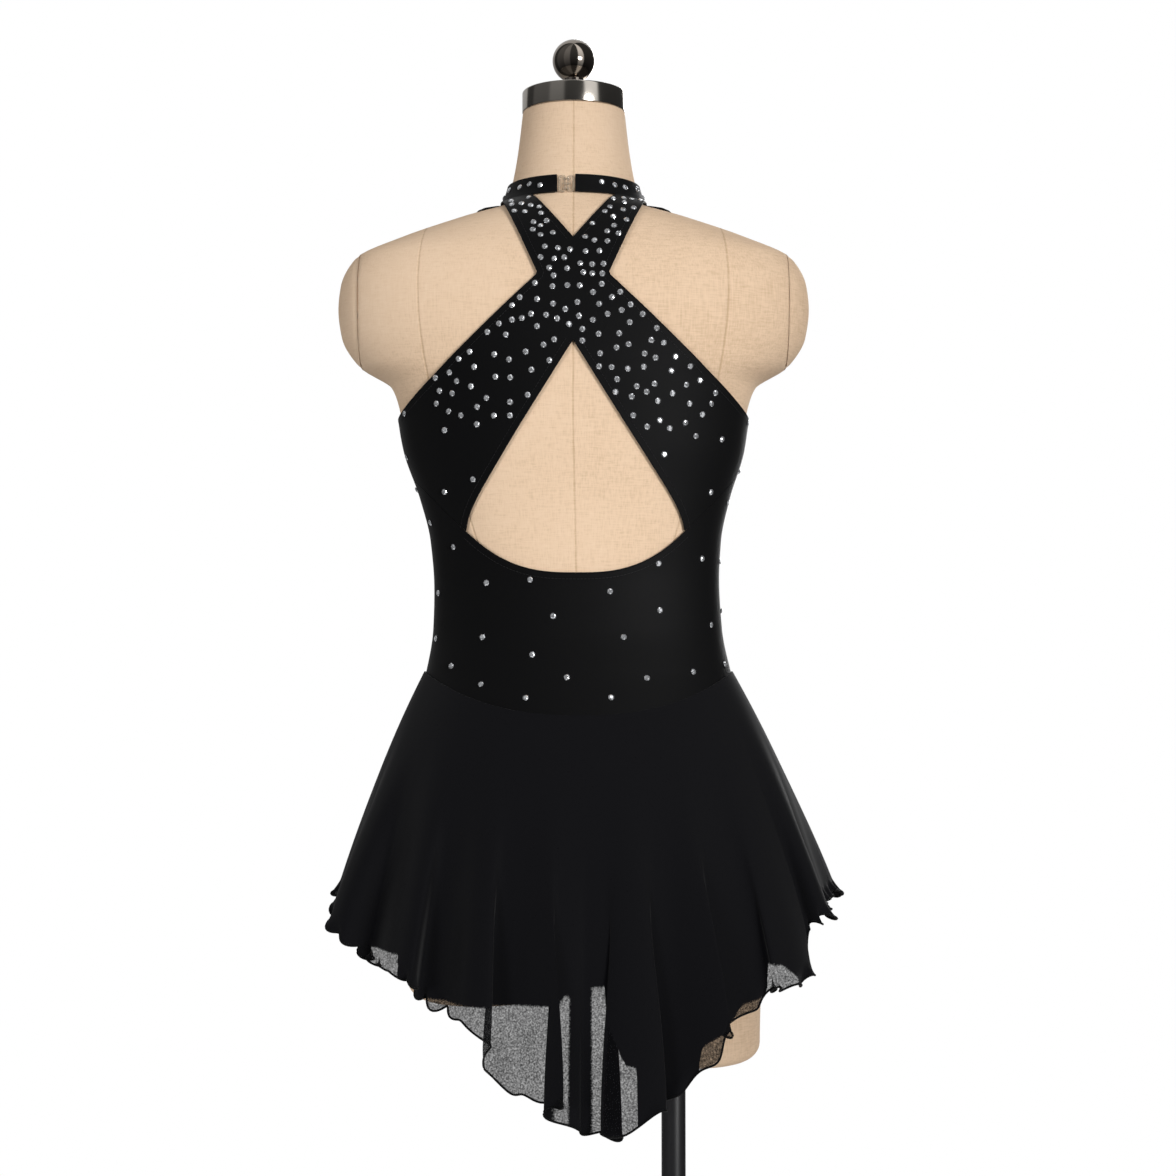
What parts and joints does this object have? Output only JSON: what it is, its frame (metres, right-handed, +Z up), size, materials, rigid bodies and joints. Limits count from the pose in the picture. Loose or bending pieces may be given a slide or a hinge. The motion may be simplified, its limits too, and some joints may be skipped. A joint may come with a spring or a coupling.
{
  "type": "figure skating dress on a limbless dress form with a stand",
  "caption": "Black halter figure skating dress with a crossed open back and a sheer high-low skirt, worn by a linen dress form on a pole stand.",
  "frame": {"origin": "on the floor under the middle of the dress, on the underside of the round base plate", "axes": "+Z up; +Y out of the dress's front; +X towards the wearer's right"},
  "size_m": [0.5002, 0.4, 1.5092],
  "materials": {
    "spandex_black": "matt black stretch knit with clear rhinestones",
    "chiffon_black": "sheer black mesh with a rolled lettuce hem",
    "clear_plastic": "clear, glossy",
    "linen": "plain-woven natural linen, matt",
    "chrome": "polished",
    "dark_chrome": "polished dark chrome",
    "black_metal": "satin black",
    "black_plastic": "matt black"
  },
  "bodies": {
    "root": {"front_bodice": "spandex_black", "back_cross": "spandex_black", "back_lower": "spandex_black", "neck_band": "spandex_black", "clasp_hook": "clear_plastic", "clasp_loop": "clear_plastic", "skirt_front": "chiffon_black", "skirt_back": "chiffon_black", "brief_front": "spandex_black", "brief_back": "spandex_black", "form_torso": "linen", "shoulder_cap_right": "linen", "shoulder_cap_left": "linen", "neck_cap": "chrome", "neck_knob": "dark_chrome", "pole": "black_metal", "pole_socket": "black_plastic", "base_plate": "black_metal"}
  },
  "joints": []
}
